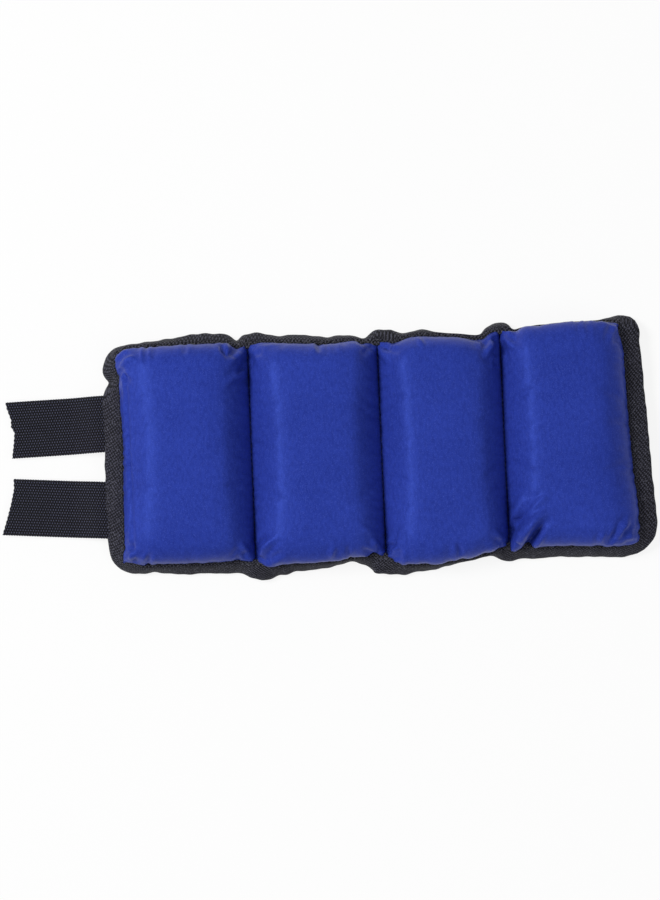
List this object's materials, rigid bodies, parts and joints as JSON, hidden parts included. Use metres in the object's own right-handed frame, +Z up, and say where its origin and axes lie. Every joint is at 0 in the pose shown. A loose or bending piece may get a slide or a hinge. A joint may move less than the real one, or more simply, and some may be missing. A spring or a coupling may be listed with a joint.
{
  "type": "cold compression wrap",
  "caption": "Flat fabric wrap with a row of filled pockets, a bound edge and two webbing straps; it bends at the sewn channels to close round a limb.",
  "frame": {"origin": "centre of the footprint, straps included, on the surface the wrap lies on", "axes": "+X along the row of pockets, away from the straps; +Z up through the pockets, from the limb side to the outer side; +Y across the wrap"},
  "size_m": [0.282, 0.102, 0.022],
  "materials": {
    "cover_fabric": "smooth knitted nylon with a soft sheen",
    "binding_tape": "woven twill tape, dull",
    "webbing": "woven polypropylene webbing",
    "hook_tape": "moulded hooks on a woven ground",
    "seam_thread": "sewing thread",
    "pack_film": "clear flexible film",
    "gel": "soft gel"
  },
  "bodies": {
    "panel_1": {"pocket_1_front_cover": "cover_fabric", "pocket_1_back_cover": "cover_fabric", "pocket_1_pack_film": "pack_film", "pocket_1_gel": "gel", "binding_upper_1": "binding_tape", "binding_lower_1": "binding_tape", "binding_strap_end": "binding_tape", "strap_upper_anchor": "webbing", "strap_lower_anchor": "webbing"},
    "panel_2": {"pocket_2_front_cover": "cover_fabric", "pocket_2_back_cover": "cover_fabric", "pocket_2_pack_film": "pack_film", "pocket_2_gel": "gel", "binding_upper_2": "binding_tape", "binding_lower_2": "binding_tape", "channel_seam_1": "seam_thread", "channel_seam_2": "seam_thread"},
    "panel_3": {"pocket_3_front_cover": "cover_fabric", "pocket_3_back_cover": "cover_fabric", "pocket_3_pack_film": "pack_film", "pocket_3_gel": "gel", "binding_upper_3": "binding_tape", "binding_lower_3": "binding_tape", "channel_seam_3": "seam_thread"},
    "panel_4": {"pocket_4_front_cover": "cover_fabric", "pocket_4_back_cover": "cover_fabric", "pocket_4_pack_film": "pack_film", "pocket_4_gel": "gel", "binding_upper_4": "binding_tape", "binding_lower_4": "binding_tape", "binding_far_end": "binding_tape"},
    "strap_upper": {"strap_upper_webbing": "webbing", "strap_upper_hook_patch": "hook_tape"},
    "strap_lower": {"strap_lower_webbing": "webbing", "strap_lower_hook_patch": "hook_tape"}
  },
  "joints": [
    {"name": "fold_1", "type": "hinge", "parent": "panel_2", "child": "panel_1", "pos_m": [-0.033, 0, 0.007], "axis": [0, -1, 0], "range_deg": [-30, 75]},
    {"name": "fold_2", "type": "hinge", "parent": "panel_2", "child": "panel_3", "pos_m": [0.024, 0, 0.007], "axis": [0, 1, 0], "range_deg": [-30, 75]},
    {"name": "fold_3", "type": "hinge", "parent": "panel_3", "child": "panel_4", "pos_m": [0.078, 0, 0.007], "axis": [0, 1, 0], "range_deg": [-30, 75]},
    {"name": "strap_upper_bend", "type": "hinge", "parent": "panel_1", "child": "strap_upper", "pos_m": [-0.0979, 0.0162, 0.0051], "axis": [0, -1, 0], "range_deg": [-90, 45]},
    {"name": "strap_lower_bend", "type": "hinge", "parent": "panel_1", "child": "strap_lower", "pos_m": [-0.0979, -0.0218, 0.0051], "axis": [0, -1, 0], "range_deg": [-90, 45]}
  ]
}
